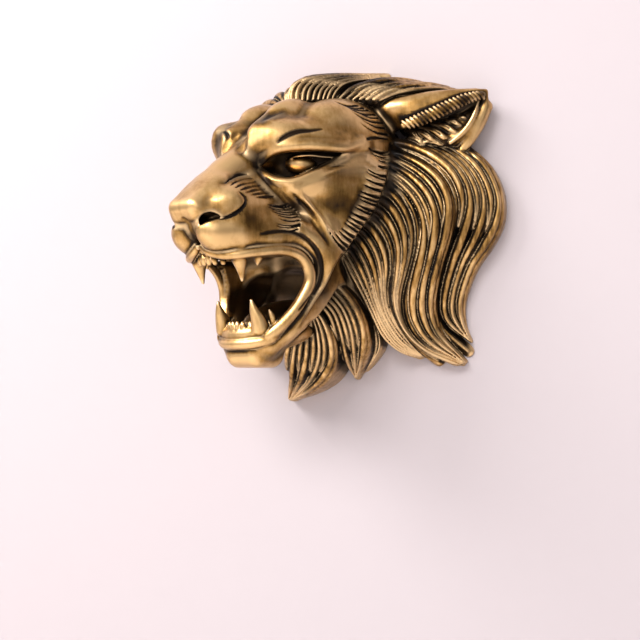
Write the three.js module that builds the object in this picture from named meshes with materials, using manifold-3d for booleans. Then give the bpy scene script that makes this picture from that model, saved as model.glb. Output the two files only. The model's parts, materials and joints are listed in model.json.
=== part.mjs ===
// A snarling lion head wall mask, cast in one piece, in millimetres, +Z up.
// The flat back lies in the plane Y = 0 and hangs on the wall; the relief comes out along -Y.
// The head is turned towards -X, and its mane sweeps round behind it on to the wall.
// Places on the head are given in the head's own frame: a is forward along the muzzle,
// s is sideways (each paired feature is made on both sides of s = 0), u is up.
import * as THREE from 'three';
import { mergeVertices } from 'three/addons/utils/BufferGeometryUtils.js';
import Module from 'manifold-3d';

// ---------- driving sizes ----------
const TURN = 26;                 // the head's turn out of the wall's normal, degrees
const DEPTH = 330;               // deeper than the relief stands off the wall
const ROUND = 11;                // sides of the larger round forms
const GAPE = { top: -50, hingeA: 160, hingeU: -66, bottom: -104, reach: 330, halfWidth: 84 };   // the open mouth, in a and u
const CANINE = { upper: 11, lower: 11, length: 31 };
const CHEEK_HALF = 92;           // half the breadth of the skull at the cheek bones
const NOSE = 262;                // how far the nose leather stands forward
const EYE = { a: 149, s: 58, u: 76, r: 16 };

const rad = THREE.MathUtils.degToRad;
const wasm = await Module();
wasm.setup();

// ---------- frames ----------
const ct = Math.cos(rad(TURN)), st = Math.sin(rad(TURN));
const fromHead = (v) => new THREE.Vector3(-st * v.x + ct * v.y, -ct * v.x - st * v.y, v.z);
const fromWall = (v) => v.clone();
const V = (p) => new THREE.Vector3(p[0], p[1], p[2]);

// ---------- closed mesh to solid, faces out whichever way the form was swept ----------
function solid(geometry) {
  const g = geometry.clone();
  g.deleteAttribute('normal');
  g.deleteAttribute('uv');
  const m = mergeVertices(g, 1e-4), p = m.attributes.position, t = Uint32Array.from(m.index.array);
  let volume = 0;
  for (let i = 0; i < t.length; i += 3) {
    const [a, b, c] = [0, 1, 2].map((j) => new THREE.Vector3().fromBufferAttribute(p, t[i + j]));
    volume += a.dot(b.cross(c));
  }
  if (volume < 0) for (let i = 0; i < t.length; i += 3) [t[i], t[i + 1]] = [t[i + 1], t[i]];
  return new wasm.Manifold(new wasm.Mesh({ numProp: 3, vertProperties: new Float32Array(p.array), triVerts: t }));
}
const join = (list) => list.reduce((whole, piece) => (whole ? whole.add(piece) : piece), null);

// moves every corner of a geometry by a function
function shaped(geometry, place) {
  const p = geometry.attributes.position;
  for (let i = 0; i < p.count; i++) {
    const v = place(new THREE.Vector3().fromBufferAttribute(p, i));
    p.setXYZ(i, v.x, v.y, v.z);
  }
  return geometry;
}

// ---------- forms ----------
// an ellipsoid with half lengths r, pitched and yawed (degrees) in the head's frame
function ellipsoid(c, r, pitch = 0, yaw = 0, detail = ROUND) {
  const cp = Math.cos(rad(pitch)), sp = Math.sin(rad(pitch)), cy = Math.cos(rad(yaw)), sy = Math.sin(rad(yaw));
  return solid(shaped(new THREE.SphereGeometry(1, detail, Math.round(detail * 0.62)), (v) => {
    const x = v.x * r[0], y = v.y * r[1], z = v.z * r[2];
    const px = cp * x - sp * z, pz = sp * x + cp * z;         // nose-down pitch is under zero
    return fromHead(new THREE.Vector3(c[0] + cy * px - sy * y, c[1] + sy * px + cy * y, c[2] + pz));
  }));
}
// the same form on both sides of the head
const pair = (make) => join([make(1), make(-1)]);
const twin = (c, r, pitch = 0, yaw = 0, detail = ROUND) => pair((k) => ellipsoid([c[0], c[1] * k, c[2]], r, pitch, yaw * k, detail));

// a round bar that follows a curve, its radius running through the list of radii
function bar(points, radii, sides = 8, steps = 8, frame = fromHead) {
  const curve = new THREE.CatmullRomCurve3(points.map((p) => frame(V(p))));
  const frames = curve.computeFrenetFrames(steps, false);
  const at = (list, t) => {
    const x = t * (list.length - 1), i = Math.min(Math.floor(x), list.length - 2);
    return list[i] + (list[i + 1] - list[i]) * (x - i);
  };
  return solid(shaped(new THREE.CylinderGeometry(1, 1, 1, sides, steps), (v) => {
    const t = v.y + 0.5, i = Math.round(t * steps), r = at(radii, t), q = curve.getPointAt(Math.min(Math.max(t, 0), 1));
    const len = Math.hypot(v.x, v.z);
    if (len < 1e-6) return q;
    return q.addScaledVector(frames.normals[i], v.x * r).addScaledVector(frames.binormals[i], -v.z * r);
  }));
}
const bars = (points, radii, sides, steps) => pair((k) => bar(points.map((p) => [p[0], p[1] * k, p[2]]), radii, sides, steps));

// a tooth: a cone from its root to its point, leaning as the two ends say
function tooth(root, tip, r, sides = 8) {
  const a = fromHead(V(root)), b = fromHead(V(tip)), axis = b.clone().sub(a);
  const turn = new THREE.Quaternion().setFromUnitVectors(new THREE.Vector3(0, 1, 0), axis.clone().normalize());
  return solid(shaped(new THREE.CylinderGeometry(r * 0.16, r, axis.length(), sides, 1), (v) =>
    v.applyQuaternion(turn).add(a).addScaledVector(axis, 0.5)));
}

// one thick lock of the mane: its front is round, its back runs straight to the wall.
// The centre line goes from root to tip, bent in the plane of the wall by a bow and an S.
function lock(root, tip, bow, wave, lift, r0, r1, steps = 7) {
  const A = V(root), B = V(tip), dx = B.x - A.x, dz = B.z - A.z, L = Math.hypot(dx, dz);
  const point = (t) => {
    const off = bow * Math.sin(Math.PI * t) + wave * Math.sin(2 * Math.PI * t);
    return new THREE.Vector3(
      A.x + dx * t + (dz / L) * off,
      A.y + (B.y - A.y) * t + lift * Math.sin(Math.PI * t),
      A.z + dz * t - (dx / L) * off);
  };
  return solid(shaped(new THREE.CylinderGeometry(1, 1, 1, 6, steps), (v) => {
    const t = 0.5 - v.y, q = point(t);
    const d = point(Math.min(t + 0.01, 1)).sub(point(Math.max(t - 0.01, 0)));
    const n = new THREE.Vector3(d.z, 0, -d.x).normalize();
    const r = (r0 + (r1 - r0) * t) * (1 - 0.25 * t * t * t);
    if (Math.hypot(v.x, v.z) < 1e-6) return q;
    const y = v.z > 0.2 ? 4 : q.y + Math.min(v.z, 0) * r * 0.8;
    return new THREE.Vector3(q.x - n.x * v.x * r, y, q.z - n.z * v.x * r);
  }));
}

// ---------- the skull, brow and muzzle ----------
const head = join([
  ellipsoid([30, 0, 78], [132, CHEEK_HALF, 92], 0, 0, 16),              // skull
  twin([72, 46, 118], [76, 46, 46]),                                    // temples
  twin([124, 26, 118], [50, 34, 40]),                                   // forehead
  twin([166, 38, 104], [42, 25, 24], 0, 12),                            // brow
  bars([[202, 28, 94], [192, 38, 96], [165, 58, 98], [122, 76, 101], [72, 90, 104]], [2, 9, 12, 12, 7], 6, 5),
  bar([[120, 0, 100], [185, 0, 74], [232, 0, 44], [258, 0, 14]], [36, 34, 30, 26], 10, 4),   // bridge of the nose
  ellipsoid([NOSE, 0, 12], [28, 34, 20], -20),                          // nose leather
  ellipsoid([185, 0, 14], [80, 54, 46]),                                // muzzle
  twin([240, 26, -12], [44, 26, 28]),                                   // whisker pads
  bars([[190, 38, 50], [176, 44, 50], [115, 66, 46], [45, 76, 54]], [4, 18, 32, 36], 9, 5),   // cheek bones
  twin([82, 60, 6], [66, 42, 70]),                                      // jaw muscles
]);

// ---------- the lower jaw ----------
const jaw = join([
  ellipsoid([168, 0, -142], [34, 46, 28]),                              // chin
  bars([[178, 32, -140], [128, 56, -108], [84, 64, -40]], [22, 26, 36], 8, 4),
  ellipsoid([110, 0, -126], [66, 50, 22], -16),                         // floor of the mouth
  ellipsoid([60, 0, -50], [70, 74, 92]),                                // throat
]);

// ---------- the open mouth, cut through from the front ----------
const gapeShape = new THREE.Shape([
  new THREE.Vector2(GAPE.reach, GAPE.top + 22), new THREE.Vector2(GAPE.hingeA + 25, GAPE.top + 8),
  new THREE.Vector2(GAPE.hingeA - 6, GAPE.hingeU), new THREE.Vector2(GAPE.hingeA + 22, GAPE.bottom - 10),
  new THREE.Vector2(GAPE.reach, GAPE.bottom - 10)]);
const gape = solid(shaped(new THREE.ExtrudeGeometry(gapeShape, { depth: 2 * GAPE.halfWidth, bevelEnabled: false }),
  (v) => fromHead(new THREE.Vector3(v.x, GAPE.halfWidth - v.z, v.y))));
const mouth = join([
  gape,
  ellipsoid([150, 0, -74], [84, 50, 38], 0, 0, 12),                     // the hollow of the mouth
  ellipsoid([205, 0, -34], [52, 34, 20]),                               // palate
]);

// ---------- what stands in the mouth ----------
const teeth = [];
for (const k of [1, -1]) {
  teeth.push(tooth([230, 36 * k, -30], [224, 34 * k, -34 - CANINE.length], CANINE.upper));
  teeth.push(tooth([194, 31 * k, -122], [205, 30 * k, -122 + CANINE.length + 4], CANINE.lower));
  teeth.push(tooth([206, 46 * k, -30], [206, 44 * k, -50], 8, 6));
  for (let i = 0; i < 3; i++) {
    teeth.push(tooth([250 - 1.5 * i * i, (4 + 8 * i) * k, -32], [249 - 1.5 * i * i, (4 + 8 * i) * k, -50], 4.6, 6));
    teeth.push(tooth([206 - 1.5 * i * i, (3.5 + 7 * i) * k, -122], [207 - 1.5 * i * i, (3.5 + 7 * i) * k, -108], 4.2, 6));
  }
}
const lips = join([
  bars([[236, 40, -34], [212, 52, -31], [183, 60, -28], [158, 66, -34], [147, 69, -50], [147, 69, -68], [158, 65, -88], [178, 52, -116]],
    [6, 7, 7, 7, 7, 7, 7, 7], 6, 9),
  bar([[150, 56, -118], [182, 46, -131], [199, 22, -136], [203, 0, -136], [199, -22, -136], [182, -46, -131], [150, -56, -118]],
    [8, 8, 8, 8, 8], 6, 8),                                            // lower lip
  bar([[142, 46, -114], [180, 38, -123], [196, 18, -126], [196, -18, -126], [180, -38, -123], [142, -46, -114]], [11, 11, 11], 6, 6),   // gums
  bar([[80, 0, -96], [130, 0, -100], [164, 0, -112], [184, 0, -116]], [22, 22, 18, 10], 8, 4),   // tongue
  ellipsoid([236, 0, -30], [22, 28, 9]),                                // upper gum
]);

// ---------- eyes and ear ----------
const sockets = twin([158, 60, 78], [34, 12, 11], 12, 155);
const eyes = join([
  twin([EYE.a, EYE.s, EYE.u], [EYE.r, EYE.r, EYE.r], 0, 0, 12),
  bars([[192, 38, 78], [168, 54, 91], [142, 65, 95], [104, 79, 92]], [4, 5, 5, 4], 6, 6),    // upper lids
  bars([[192, 38, 70], [168, 52, 60], [144, 64, 62], [104, 79, 88]], [4, 4, 4, 4], 6, 6),    // lower lids
]);
// the ear that shows, laid back towards +X: a leaf-shaped shell with a rolled rim
const earAxis = [[84, -52, 132], [120, -46, 146], [154, -36, 162], [187, -25, 176]];
const ear = join([
  bar([[72, -54, 128], [104, -50, 136], [140, -40, 150], [172, -28, 166]], [30, 32, 24, 8], 10, 6, fromWall),
]);
const earHollow = bar([[96, -84, 120], [124, -74, 134], [150, -60, 148], [172, -44, 160]], [20, 22, 17, 6], 10, 6, fromWall);
const earRim = join([
  bar(earAxis.map((p) => [p[0], p[1] - 6, p[2] + 4]), [9, 8, 6, 3], 8, 6, fromWall),
  bar([[187, -25, 176], [185, -24, 160], [176, -26, 136], [162, -30, 114], [146, -36, 104]], [3, 5, 6, 6, 6], 8, 7, fromWall),
]);

// ---------- the mane ----------
// fans of locks between an inner and an outer guide: root, tip, bow, wave, lift
const fans = [
  { n: 3, r: [18, 8], a: [[156, -18, 118], [158, -12, -134], -22, -22, -6], b: [[112, -44, 108], [143, -14, -136], -19, -23, -14] },
  { n: 3, r: [21, 8], a: [[100, -56, 104], [154, -12, -159], -3, -29, -14], b: [[82, -74, 78], [138, -16, -161], 17, -26, -14] },
  { n: 2, r: [18, 8], a: [[80, -82, 50], [106, -22, -146], 6, -15, -12], b: [[58, -94, 20], [99, -24, -153], 10, -15, -10] },
  { n: 2, r: [19, 9], a: [[40, -102, 0], [52, -50, -112], -6, -2, -10], b: [[22, -102, -36], [96, -22, -154], 16, -6, -8] },
  { n: 2, r: [14, 8], a: [[14, -92, -62], [17, -20, -176], -16, -3, -8], b: [[-5, -90, -80], [12, -20, -180], 8, -2, -8] },
  { n: 2, r: [19, 9], a: [[-11, -86, -82], [-72, -22, -206], -36, -2, -8], b: [[-42, -84, -102], [-76, -24, -206], -8, 5, -8] },
  // the crest over the skull
  { n: 2, r: [18, 9], a: [[-52, -106, 156], [52, -12, 206], -24, -8, -10], b: [[-10, -92, 156], [84, -16, 188], -10, -1, -10] },
  { n: 2, r: [15, 9], a: [[10, -88, 158], [110, -20, 184], -8, -3, -8], b: [[40, -76, 150], [140, -20, 174], -6, -3, -6] },
  // the side turned to the wall
  { n: 2, r: [20, 10], a: [[-70, -86, 150], [-150, -20, 128], 12, 0, -8], b: [[-100, -70, 110], [-164, -18, 60], 12, 0, -8] },
  { n: 3, r: [22, 8], a: [[-112, -62, 70], [-162, -16, -44], 10, -6, -8], b: [[-64, -76, -60], [-110, -20, -160], 12, -6, -8] },
];
const mix = (p, q, t) => (Array.isArray(p) ? p.map((v, i) => v + (q[i] - v) * t) : p + (q - p) * t);
const locks = [];
for (const fan of fans) {
  for (let i = 0; i < fan.n; i++) {
    const t = i / Math.max(fan.n - 1, 1), g = fan.a.map((v, j) => mix(v, fan.b[j], t));
    locks.push(lock(g[0], g[1], g[2], g[3], g[4], fan.r[0], fan.r[1]));
  }
}
// the body of the mane behind the face, down to the wall
const bodyProfile = [[0, -4], [138, -4], [138, 30], [128, 62], [104, 92], [0, 92]].map((p) => new THREE.Vector2(p[0], p[1]));
const body = solid(shaped(new THREE.LatheGeometry(bodyProfile, 22), (v) =>
  new THREE.Vector3(-14 + v.x * 0.94, -v.y, 20 - v.z)));

// ---------- put together, and cut flat where it meets the wall ----------
const front = solid(new THREE.BoxGeometry(700, DEPTH, 700).translate(0, -DEPTH / 2, 0));
const mask = head.add(jaw).subtract(mouth).subtract(sockets)
  .add(eyes).add(lips).add(join(teeth))
  .add(join(locks)).add(body)
  .add(ear).subtract(earHollow).add(earRim)
  .intersect(front);

// keeps the largest closed shell, so the casting has no sealed bubbles
function oneBody(mesh) {
  const { vertProperties: p, triVerts: t, numProp } = mesh, parent = Array.from({ length: p.length / numProp }, (_, i) => i);
  const find = (i) => { while (parent[i] !== i) { parent[i] = parent[parent[i]]; i = parent[i]; } return i; };
  for (let i = 0; i < t.length; i += 3) {
    parent[find(t[i])] = find(t[i + 1]);
    parent[find(t[i + 1])] = find(t[i + 2]);
  }
  const volume = new Map(), P = (i) => new THREE.Vector3(p[i * numProp], p[i * numProp + 1], p[i * numProp + 2]);
  for (let i = 0; i < t.length; i += 3) {
    const k = find(t[i]);
    volume.set(k, (volume.get(k) ?? 0) + P(t[i]).dot(P(t[i + 1]).cross(P(t[i + 2]))) / 6);
  }
  const best = [...volume].sort((x, y) => y[1] - x[1])[0][0], index = [];
  for (let i = 0; i < t.length; i += 3) if (find(t[i]) === best) index.push(t[i], t[i + 1], t[i + 2]);
  const used = [...new Set(index)], order = new Map(used.map((v, i) => [v, i])), pos = new Float32Array(used.length * 3);
  used.forEach((v, i) => P(v).toArray(pos, i * 3));
  const g = new THREE.BufferGeometry();
  g.setAttribute('position', new THREE.BufferAttribute(pos, 3));
  g.setIndex(index.map((v) => order.get(v)));
  g.computeVertexNormals();
  return g;
}

const brass = new THREE.MeshStandardMaterial({ color: 0x9a7a45, roughness: 0.38, metalness: 1 });
const mesh = new THREE.Mesh(oneBody(mask.getMesh()), brass);
mesh.name = 'lion_head_mask';

const group = new THREE.Group();
group.add(mesh);
export default group;
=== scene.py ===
"""The finished looks of a lion head wall mask, cast in one piece in antique brass.

The whole relief is sculpted as a distance field: masses that swell into each other, lines pressed in and
strands laid over, then turned into one closed mesh.
Lengths are in millimetres until the mesh is made, and then in metres."""
import json
import math
import time

import bpy
import numpy as np
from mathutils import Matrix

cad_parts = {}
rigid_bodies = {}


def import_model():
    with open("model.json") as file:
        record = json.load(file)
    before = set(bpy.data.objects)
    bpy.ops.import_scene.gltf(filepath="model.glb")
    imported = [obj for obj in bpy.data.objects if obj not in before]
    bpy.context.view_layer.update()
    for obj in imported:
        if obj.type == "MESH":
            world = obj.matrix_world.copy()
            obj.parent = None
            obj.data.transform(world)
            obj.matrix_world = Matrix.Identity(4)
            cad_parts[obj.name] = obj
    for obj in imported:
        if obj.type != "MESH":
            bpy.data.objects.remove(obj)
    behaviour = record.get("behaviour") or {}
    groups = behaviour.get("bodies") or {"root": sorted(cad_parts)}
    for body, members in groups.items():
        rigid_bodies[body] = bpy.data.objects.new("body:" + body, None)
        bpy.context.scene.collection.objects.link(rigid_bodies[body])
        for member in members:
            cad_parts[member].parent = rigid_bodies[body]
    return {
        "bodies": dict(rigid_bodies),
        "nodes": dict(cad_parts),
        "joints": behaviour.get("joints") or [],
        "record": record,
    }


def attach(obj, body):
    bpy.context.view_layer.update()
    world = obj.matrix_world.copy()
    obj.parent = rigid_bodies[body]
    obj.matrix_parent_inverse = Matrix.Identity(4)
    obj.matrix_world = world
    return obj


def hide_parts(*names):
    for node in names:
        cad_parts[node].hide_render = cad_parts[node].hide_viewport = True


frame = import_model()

import openvdb as vdb
from mathutils import Matrix, Vector

START = time.time()
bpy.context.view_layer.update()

# ---------- the camera: where the mask is seen from ----------
YAW, PITCH, LENS = 17.6, 2.3, 1273.0              # degrees, degrees, pixels of a 640 frame
DISTANCE, CENTRE = 1660.0, (350.0, 240.0)         # to the middle of the back, and where that falls in the frame
_y, _p = math.radians(YAW), math.radians(PITCH)
FWD = np.array([-math.sin(_y) * math.cos(_p), math.cos(_y) * math.cos(_p), math.sin(_p)])
RIGHT = np.array([math.cos(_y), math.sin(_y), 0.0])
UP = np.cross(RIGHT, FWD)


def ray(px, py):
    return FWD + (px - 320) / LENS * RIGHT - (py - 320) / LENS * UP


EYE_POINT = -DISTANCE * ray(*CENTRE)

def at_depth(px, py, y):
    d = ray(px, py)
    return EYE_POINT + d * ((y - EYE_POINT[1]) / d[1])


# ---------- the head's own frame: a forward along the muzzle, s sideways, u up ----------
TURN = 26.0
_t = math.radians(TURN)
HEAD = np.array([[-math.sin(_t), -math.cos(_t), 0.0], [math.cos(_t), -math.sin(_t), 0.0], [0.0, 0.0, 1.0]])
WALL = np.eye(3)

# ---------- the field ----------
H = 1.1                          # spacing of the field
LO, HI = (-190.0, -292.0, -226.0), (240.0, 8.0, 228.0)
FAR = 30.0


class Field:
    def __init__(self, lo=LO, hi=HI, h=H, far=FAR):
        self.lo, self.h = np.array(lo, float), float(h)
        self.n = (np.ceil((np.array(hi, float) - self.lo) / h) + 1).astype(int)
        self.ax = [(self.lo[i] + h * np.arange(self.n[i])).astype(np.float32) for i in range(3)]
        self.d = np.full(self.n, far, np.float32)

    def window(self, lo, hi):
        a = np.maximum(np.floor((np.array(lo) - self.lo) / self.h).astype(int), 0)
        b = np.minimum(np.ceil((np.array(hi) - self.lo) / self.h).astype(int) + 1, self.n)
        return None if (b <= a).any() else tuple(slice(int(p), int(q)) for p, q in zip(a, b))

    def along(self, w, m, c):
        x, y, z = (self.ax[i][w[i]] * np.float32(m[i]) for i in range(3))
        return (x[:, None, None] + np.float32(-c)) + y[None, :, None] + z[None, None, :]

    def sample(self, points):
        """the field at world points, between its nodes"""
        g = np.clip((np.asarray(points, float) - self.lo) / self.h, 0, self.n - 1.001)
        i = g.astype(int)
        f = (g - i).astype(np.float32)
        out = 0
        for dx in (0, 1):
            for dy in (0, 1):
                for dz in (0, 1):
                    wgt = (f[:, 0] if dx else 1 - f[:, 0]) * (f[:, 1] if dy else 1 - f[:, 1]) * (f[:, 2] if dz else 1 - f[:, 2])
                    out = out + wgt * self.d[i[:, 0] + dx, i[:, 1] + dy, i[:, 2] + dz]
        return out


def smin(a, b, k):
    if k <= 0:
        return np.minimum(a, b)
    h = np.maximum(k - np.abs(a - b), 0) * np.float32(1 / k)
    return np.minimum(a, b) - h * h * np.float32(k * 0.25)


def put(field, w, d, op, k):
    field.d[w] = smin(field.d[w], d, k) if op == "add" else -smin(-field.d[w], d, k)


def basis(rot):
    p, y, r = (math.radians(v) for v in rot)
    P = np.array([[math.cos(p), 0, math.sin(p)], [0, 1, 0], [-math.sin(p), 0, math.cos(p)]])
    Y = np.array([[math.cos(y), math.sin(y), 0], [-math.sin(y), math.cos(y), 0], [0, 0, 1]])
    R = np.array([[1, 0, 0], [0, math.cos(r), math.sin(r)], [0, -math.sin(r), math.cos(r)]])
    return R @ P @ Y


def ell(field, c, r, rot=(0, 0, 0), k=8.0, op="add", frame=HEAD, margin=None):
    """an ellipsoid with half lengths r, pitched, yawed and rolled, and its twin on the other side of the head"""
    twin = frame is HEAD and (abs(c[1]) > 0.01 or rot[1] or rot[2])
    for side in (1, -1) if twin else (1,):
        cc = np.array([c[0], c[1] * side, c[2]], float)
        B = basis((rot[0], rot[1] * side, rot[2] * side))
        M, q, rr = B @ frame, B @ cc, np.array(r, float)
        centre = frame.T @ cc
        ext = np.sqrt(((rr[:, None] * M) ** 2).sum(0)) + (margin if margin is not None else max(k, 12.0))
        w = field.window(centre - ext, centre + ext)
        if w is None:
            continue
        p = [field.along(w, M[i], q[i]) for i in range(3)]
        k0 = np.sqrt(sum((p[i] * np.float32(1 / rr[i])) ** 2 for i in range(3))) + np.float32(1e-6)
        k1 = np.sqrt(sum((p[i] * np.float32(1 / rr[i] ** 2)) ** 2 for i in range(3))) + np.float32(1e-9)
        put(field, w, k0 * (k0 - 1) / k1, op, k)


def spline(points, step):
    """a smooth line through the points, with a point every step"""
    p = np.array(points, float)
    if len(p) > 2:
        q = np.vstack([2 * p[0] - p[1], p, 2 * p[-1] - p[-2]])
        out = []
        for i in range(len(p) - 1):
            t = np.linspace(0, 1, 12, endpoint=False)[:, None]
            a, b, c, d = q[i:i + 4]
            out.append(0.5 * (2 * b + (c - a) * t + (2 * a - 5 * b + 4 * c - d) * t ** 2 + (3 * b - a - 3 * c + d) * t ** 3))
        p = np.vstack(out + [p[-1:]])
    s = np.r_[0, np.cumsum(np.linalg.norm(np.diff(p[:, :3], axis=0), axis=1))]
    at = np.linspace(0, s[-1], max(2, int(round(s[-1] / step)) + 1))
    return np.stack([np.interp(at, s, p[:, j]) for j in range(p.shape[1])], 1)


def near(field, w, A, B):
    """along the window: how far each node is from the line A to B, and how far along it"""
    v = B - A
    L2 = float(v @ v) + 1e-9
    x = [field.ax[j][w[j]] - np.float32(A[j]) for j in range(3)]
    X, Y, Z = x[0][:, None, None], x[1][None, :, None], x[2][None, None, :]
    t = np.clip((X * np.float32(v[0] / L2) + Y * np.float32(v[1] / L2)) + Z * np.float32(v[2] / L2), 0, 1)
    return (X - t * np.float32(v[0])) ** 2 + (Y - t * np.float32(v[1])) ** 2 + (Z - t * np.float32(v[2])) ** 2, t


def sides_of(p, frame):
    return (1, -1) if frame is HEAD and np.abs(p[:, 1]).max() > 0.01 and not (p[:, 1].min() < -0.01 < 0.01 < p[:, 1].max()) else (1,)


def bar(field, pts, rad=None, k=3.0, op="add", frame=HEAD, step=5.0, margin=None, only=0):
    """a round bar along the points; a fourth number at a point is the radius there; only 1 or -1 keeps to the near or far side"""
    p = spline([list(q) + ([rad] if len(q) == 3 else []) for q in pts], step)
    for side in (only,) if only else sides_of(p, frame):
        q = p.copy()
        q[:, 1] *= side
        W, R = q[:, :3] @ frame, q[:, 3]
        m = margin if margin is not None else max(k, 10.0)
        lo, hi = W.min(0) - R.max() - m, W.max(0) + R.max() + m
        w = field.window(lo, hi)
        if w is None:
            continue
        best = np.full([s.stop - s.start for s in w], 1e3, np.float32)
        for i in range(len(W) - 1):
            rm = max(R[i], R[i + 1]) + m
            ww = field.window(np.minimum(W[i], W[i + 1]) - rm, np.maximum(W[i], W[i + 1]) + rm)
            if ww is None:
                continue
            d2, t = near(field, ww, W[i], W[i + 1])
            sub = tuple(slice(ww[j].start - w[j].start, ww[j].stop - w[j].start) for j in range(3))
            np.minimum(best[sub], np.sqrt(d2) - (np.float32(R[i]) + t * np.float32(R[i + 1] - R[i])), out=best[sub])
        best[best > 900] = FAR
        put(field, w, best, op, k)


def groove(field, pts, width, depth, frame=HEAD, step=4.0, taper=(1, 1), narrow=0.0):
    """a line pressed into the surface (depth over 0) or raised on it (under 0), fading and narrowing towards its end"""
    p = spline(pts, step)
    for side in sides_of(p, frame):
        q = p.copy()
        q[:, 1] *= side
        W = q @ frame
        rm = width * 2.4
        w = field.window(W.min(0) - rm, W.max(0) + rm)
        if w is None:
            continue
        best = np.full([s.stop - s.start for s in w], 1e6, np.float32)
        at = np.zeros_like(best)
        n = len(W) - 1
        for i in range(n):
            ww = field.window(np.minimum(W[i], W[i + 1]) - rm, np.maximum(W[i], W[i + 1]) + rm)
            if ww is None:
                continue
            d2, t = near(field, ww, W[i], W[i + 1])
            sub = tuple(slice(ww[j].start - w[j].start, ww[j].stop - w[j].start) for j in range(3))
            hit = d2 < best[sub]
            at[sub][hit] = ((i + t) * np.float32(1 / n))[hit]
            best[sub][hit] = d2[hit]
        g = np.exp(-best / (np.float32(width) * (1 - np.float32(narrow) * at)) ** 2)
        if taper[0]:
            g *= np.clip(at * np.float32(3.2 / taper[0]) + 0.12, 0, 1)
        if taper[1]:
            g *= np.clip((1 - at) * np.float32(3.2 / taper[1]) + 0.12, 0, 1)
        field.d[w] += np.float32(depth) * g


def cast(field, px, py, near_y=-292.0):
    """the point of the surface that the camera sees at a place in the frame, or None"""
    d = ray(px, py)
    t = np.arange((near_y - EYE_POINT[1]) / d[1], (0 - EYE_POINT[1]) / d[1], 1.0)
    P = EYE_POINT + t[:, None] * d
    v = field.sample(P)
    hit = np.nonzero(v < 0)[0]
    if not len(hit):
        return None
    i = hit[0]
    if i:
        f = v[i - 1] / (v[i - 1] - v[i])
        return P[i - 1] + (P[i] - P[i - 1]) * f
    return P[0]


def on_face(field, pixels, lift=0.0):
    """head-frame points where the camera sees the frame's places on the surface"""
    out = []
    for i, (px, py) in enumerate(pixels):
        P = cast(field, px, py)
        if P is not None:
            out.append(HEAD @ (P - (lift[i] if isinstance(lift, (list, tuple)) else lift) * FWD))
    return out


def front(field, places, lift=0.0):
    """head-frame points of the surface as met from the front, at places given by s and u"""
    a = np.arange(300.0, 0.0, -1.0)
    out = []
    for sd, u in places:
        P = np.stack([a, np.full_like(a, sd), np.full_like(a, u)], 1)
        i = np.nonzero(field.sample(P @ HEAD) < 0)[0]
        out.append((a[i[0]] + lift if len(i) else 150.0, sd, u))
    return out


rng = np.random.default_rng(7)


def box(field, c, half, rnd, rot=(0, 0, 0), k=6.0, op="add", frame=HEAD):
    """a box with rounded edges, and its twin where it lies off the middle"""
    for side in (1, -1) if frame is HEAD and abs(c[1]) > 0.01 else (1,):
        cc = np.array([c[0], c[1] * side, c[2]], float)
        B = basis((rot[0], rot[1] * side, rot[2] * side))
        M, q, hh = B @ frame, B @ cc, np.array(half, float)
        centre = frame.T @ cc
        ext = (np.abs(M) * (hh + rnd)[:, None]).sum(0) + max(k, 12.0)
        w = field.window(centre - ext, centre + ext)
        if w is None:
            continue
        p = [np.abs(field.along(w, M[i], q[i])) - np.float32(hh[i]) for i in range(3)]
        d = np.sqrt(sum(np.maximum(v, 0) ** 2 for v in p)) + np.minimum(np.maximum(np.maximum(p[0], p[1]), p[2]), 0) - np.float32(rnd)
        put(field, w, d, op, k)


def slot_cut(field, outline, half, k=4.0):
    """cuts a prism through the head from side to side: its outline is drawn in a and u"""
    P = np.array(outline, float)
    lo, hi = P.min(0) - 14, P.max(0) + 14
    ga, gu = np.arange(lo[0], hi[0], 1.0), np.arange(lo[1], hi[1], 1.0)
    A, U = np.meshgrid(ga, gu, indexing="ij")
    best, inside = np.full(A.shape, 1e9), np.zeros(A.shape, bool)
    for (x0, y0), (x1, y1) in zip(P, np.roll(P, -1, 0)):
        t = np.clip(((A - x0) * (x1 - x0) + (U - y0) * (y1 - y0)) / ((x1 - x0) ** 2 + (y1 - y0) ** 2), 0, 1)
        best = np.minimum(best, np.hypot(A - x0 - t * (x1 - x0), U - y0 - t * (y1 - y0)))
        cross = (y0 > U) != (y1 > U)
        inside ^= cross & (A < (x1 - x0) * (U - y0) / (y1 - y0 + 1e-12) + x0)
    table = np.where(inside, -best, best).astype(np.float32)
    corners = np.array([[a, s, 0] @ HEAD for a in (lo[0], hi[0]) for s in (-half - 10, half + 10)])
    w = field.window((corners[:, 0].min(), corners[:, 1].min(), lo[1]), (corners[:, 0].max(), corners[:, 1].max(), hi[1] - 1))
    a = field.along((w[0], w[1], slice(0, 1)), (HEAD[0][0], HEAD[0][1], 0), 0)[:, :, 0]
    s = field.along((w[0], w[1], slice(0, 1)), (HEAD[1][0], HEAD[1][1], 0), 0)[:, :, 0]
    ia = np.clip((a - lo[0]), 0, len(ga) - 1.01)
    iu = np.clip((field.ax[2][w[2]] - lo[1]), 0, len(gu) - 1.01)
    i0, j0 = ia.astype(int), iu.astype(int)
    fa, fu = (ia - i0)[:, :, None].astype(np.float32), (iu - j0)[None, None, :].astype(np.float32)
    i0, j0 = i0[:, :, None], j0[None, None, :]
    d = (table[i0, j0] * (1 - fa) + table[i0 + 1, j0] * fa) * (1 - fu) + (table[i0, j0 + 1] * (1 - fa) + table[i0 + 1, j0 + 1] * fa) * fu
    d = np.maximum(d, (np.abs(s) - half)[:, :, None])
    out = ((a < lo[0]) | (a > hi[0] - 1.5))[:, :, None]
    d = np.where(out, np.float32(FAR), d)
    put(field, w, d, "cut", k)


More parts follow.
